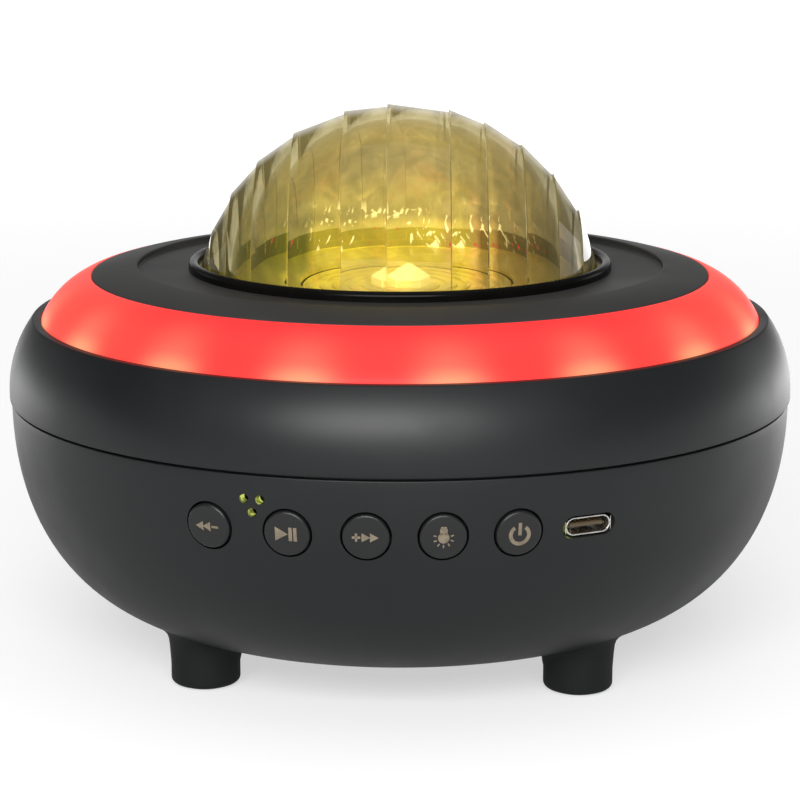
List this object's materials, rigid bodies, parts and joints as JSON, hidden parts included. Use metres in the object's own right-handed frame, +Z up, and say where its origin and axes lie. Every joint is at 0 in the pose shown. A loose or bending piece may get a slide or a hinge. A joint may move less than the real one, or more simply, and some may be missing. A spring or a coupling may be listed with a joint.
{
  "type": "portable speaker with dome light",
  "caption": "Saucer-shaped portable speaker on short feet, with a lit ring, a cut crystal projector dome on top, a row of push buttons and a charging port.",
  "frame": {"origin": "on the floor under the feet, on the dome's axis", "axes": "+Z up along the dome's axis; the button row faces -Y; +X is to the right seen from the front"},
  "size_m": [0.155, 0.155, 0.1071],
  "materials": {
    "soft_black": "soft-touch matte black",
    "plate_black": "fine matte black",
    "gloss_black": "polished black",
    "button_black": "matte black with printed symbols",
    "lit_red": "translucent diffuser lit red",
    "crystal": "clear cut acrylic, lit yellow from inside",
    "clear_plastic": "clear moulded plastic",
    "reflector": "bright reflector",
    "white_plastic": "natural white moulding",
    "rubber_black": "matte rubber",
    "steel": "plated steel",
    "port_metal": "drawn stainless shell",
    "insulator_black": "black insulator",
    "board": "green solder mask",
    "led": "lit emitter",
    "magnet": "sintered ferrite",
    "paper": "pressed paper",
    "spider_cloth": "treated cloth",
    "copper": "enamelled wire on a former",
    "cell_wrap": "sleeved cell",
    "lead_sleeve": "insulated lead"
  },
  "bodies": {
    "housing": {"base_shell": "soft_black", "battery_cell": "cell_wrap", "battery_cradle": "insulator_black", "board_capacitors": "insulator_black", "board_chips": "insulator_black", "board_screws": "steel", "cradle_screws": "steel", "crystal_dome": "crystal", "dome_ring": "gloss_black", "drive_motor": "steel", "foot_pads": "rubber_black", "frame_screws": "steel", "front_left_foot": "soft_black", "front_right_foot": "soft_black", "internal_leads": "lead_sleeve", "lamp_board": "board", "lamp_leds": "led", "light_ring": "lit_red", "main_board": "board", "plate_screws": "steel", "port_shell": "port_metal", "port_tongue": "insulator_black", "projector_frame": "white_plastic", "rear_left_foot": "soft_black", "rear_right_foot": "soft_black", "reflector_dish": "reflector", "ring_leds": "led", "ring_light_board": "board", "shell_screws": "steel", "speaker_frame": "insulator_black", "speaker_front_plate": "steel", "speaker_gasket": "rubber_black", "speaker_magnet": "magnet", "speaker_screws": "steel", "speaker_spider": "spider_cloth", "speaker_surround": "rubber_black", "speaker_yoke": "steel", "status_led": "led", "status_light_guide": "clear_plastic", "switch_bodies": "insulator_black", "top_plate": "plate_black", "upper_shell": "soft_black"},
    "rewind_key": {"rewind_button": "button_black", "rewind_switch_plunger": "insulator_black"},
    "play_key": {"play_button": "button_black", "play_switch_plunger": "insulator_black"},
    "forward_key": {"forward_button": "button_black", "forward_switch_plunger": "insulator_black"},
    "light_key": {"light_button": "button_black", "light_switch_plunger": "insulator_black"},
    "power_key": {"power_button": "button_black", "power_switch_plunger": "insulator_black"},
    "lens_rotor": {"ripple_disc": "clear_plastic", "disc_gear": "white_plastic", "aurora_lens": "clear_plastic"},
    "drive_shaft": {"drive_pinion": "white_plastic", "motor_shaft": "steel"},
    "speaker_diaphragm": {"speaker_cone": "paper", "voice_coil": "copper", "dust_cap": "paper"}
  },
  "joints": [
    {"name": "rewind_press", "type": "slide", "parent": "housing", "child": "rewind_key", "axis": [0.4368, 0.8996, 0], "range_m": [0, 0.0006], "stiffness_N_per_m": 1500},
    {"name": "play_press", "type": "slide", "parent": "housing", "child": "play_key", "axis": [0.2554, 0.9668, 0], "range_m": [0, 0.0006], "stiffness_N_per_m": 1500},
    {"name": "forward_press", "type": "slide", "parent": "housing", "child": "forward_key", "axis": [0.0767, 0.9971, 0], "range_m": [0, 0.0006], "stiffness_N_per_m": 1500},
    {"name": "light_press", "type": "slide", "parent": "housing", "child": "light_key", "axis": [-0.0976, 0.9952, 0], "range_m": [0, 0.0006], "stiffness_N_per_m": 1500},
    {"name": "power_press", "type": "slide", "parent": "housing", "child": "power_key", "axis": [-0.2689, 0.9632, 0], "range_m": [0, 0.0006], "stiffness_N_per_m": 1500},
    {"name": "lens_spin", "type": "hinge", "parent": "housing", "child": "lens_rotor", "pos_m": [0, 0, 0.0698], "axis": [0, 0, 1], "continuous": true},
    {"name": "pinion_spin", "type": "hinge", "parent": "housing", "child": "drive_shaft", "pos_m": [0, 0.0248, 0.0685], "axis": [0, 0, 1], "continuous": true},
    {"name": "cone_stroke", "type": "slide", "parent": "housing", "child": "speaker_diaphragm", "axis": [0, 0, -1], "range_m": [-0.0012, 0.0012], "stiffness_N_per_m": 1500, "deforming": ["speaker_surround", "speaker_spider"]}
  ],
  "couplings": [
    {"joint": "pinion_spin", "follows": "lens_spin", "ratio": -3.4286}
  ]
}
